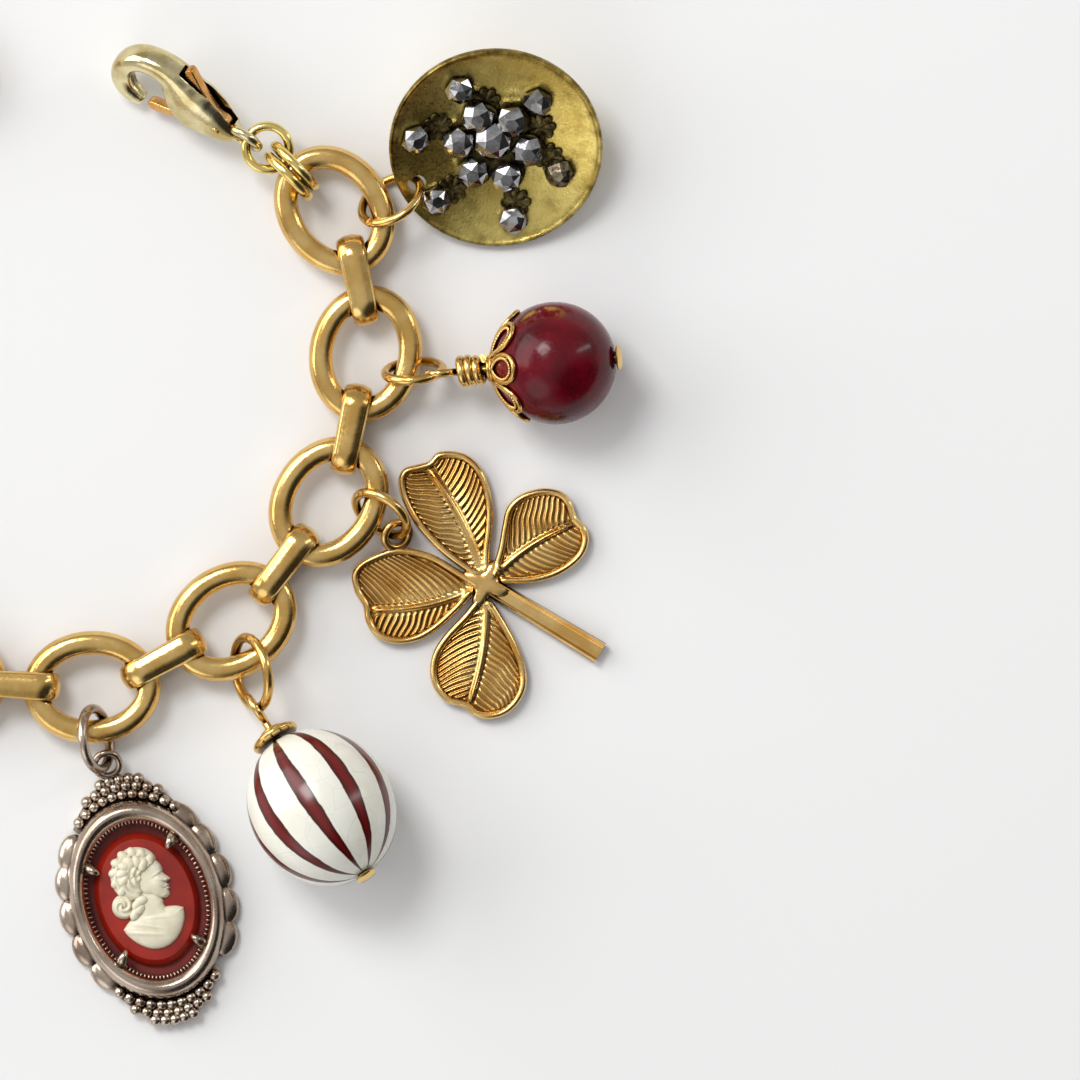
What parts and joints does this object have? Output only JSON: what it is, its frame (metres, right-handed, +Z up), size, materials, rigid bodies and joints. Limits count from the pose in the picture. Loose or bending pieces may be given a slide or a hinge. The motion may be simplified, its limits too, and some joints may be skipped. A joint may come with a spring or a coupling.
{
  "type": "charm bracelet",
  "caption": "Charm bracelet of oval and joining links with a lobster clasp, and a studded button, a red bead, a clover, a striped bead and a cameo as charms.",
  "frame": {"origin": "middle of the bottom of the bounding box, on the surface that the bracelet lies on", "axes": "+Z up, +X to the right and +Y to the top of the bracelet as seen from above"},
  "size_m": [0.0944, 0.1008, 0.0146],
  "materials": {
    "gold_plate": "polished, antiqued",
    "pale_gold": "polished",
    "lever_gold": "satin",
    "cut_steel": "faceted, bright",
    "antique_brass": "aged",
    "aged_silver": "tarnished, polished high spots",
    "red_glass": "gloss",
    "striped_glaze": "gloss, fine crazing",
    "carnelian": "gloss",
    "ivory_relief": "satin"
  },
  "bodies": {
    "bracelet": {"bead_cap": "gold_plate", "bead_pin": "gold_plate", "button_disc": "antique_brass", "button_ring": "gold_plate", "cameo_bust": "ivory_relief", "cameo_frame": "aged_silver", "cameo_ring": "aged_silver", "cameo_stone": "carnelian", "clasp_body": "pale_gold", "clasp_ring": "pale_gold", "clover": "gold_plate", "clover_ring": "gold_plate", "double_ring_1": "gold_plate", "double_ring_2": "gold_plate", "eye_pin": "gold_plate", "joining_link_01": "gold_plate", "joining_link_02": "gold_plate", "joining_link_03": "gold_plate", "joining_link_04": "gold_plate", "joining_link_05": "gold_plate", "joining_link_06": "gold_plate", "joining_link_07": "gold_plate", "joining_link_08": "gold_plate", "joining_link_09": "gold_plate", "joining_link_10": "gold_plate", "outer_stud_1": "cut_steel", "outer_stud_2": "cut_steel", "outer_stud_3": "cut_steel", "outer_stud_4": "cut_steel", "outer_stud_5": "cut_steel", "outer_stud_6": "cut_steel", "oval_link_01": "gold_plate", "oval_link_02": "gold_plate", "oval_link_03": "gold_plate", "oval_link_04": "gold_plate", "oval_link_05": "gold_plate", "oval_link_06": "gold_plate", "oval_link_07": "gold_plate", "oval_link_08": "gold_plate", "oval_link_09": "gold_plate", "oval_link_10": "gold_plate", "oval_link_11": "gold_plate", "red_bead": "red_glass", "red_bead_ring": "gold_plate", "spacer_cap": "gold_plate", "steel_star": "cut_steel", "striped_bead": "striped_glaze", "striped_bead_ring": "gold_plate"},
    "lever": {"clasp_lever": "lever_gold"}
  },
  "joints": [
    {"name": "lever_hinge", "type": "hinge", "parent": "bracelet", "child": "lever", "pos_m": [0.00712, 0.03994, 0.00398], "axis": [0.4059, 0.6496, -0.6428], "range_deg": [0, 20], "stiffness_Nm_per_rad": 0.002, "springref_deg": -5.73}
  ]
}
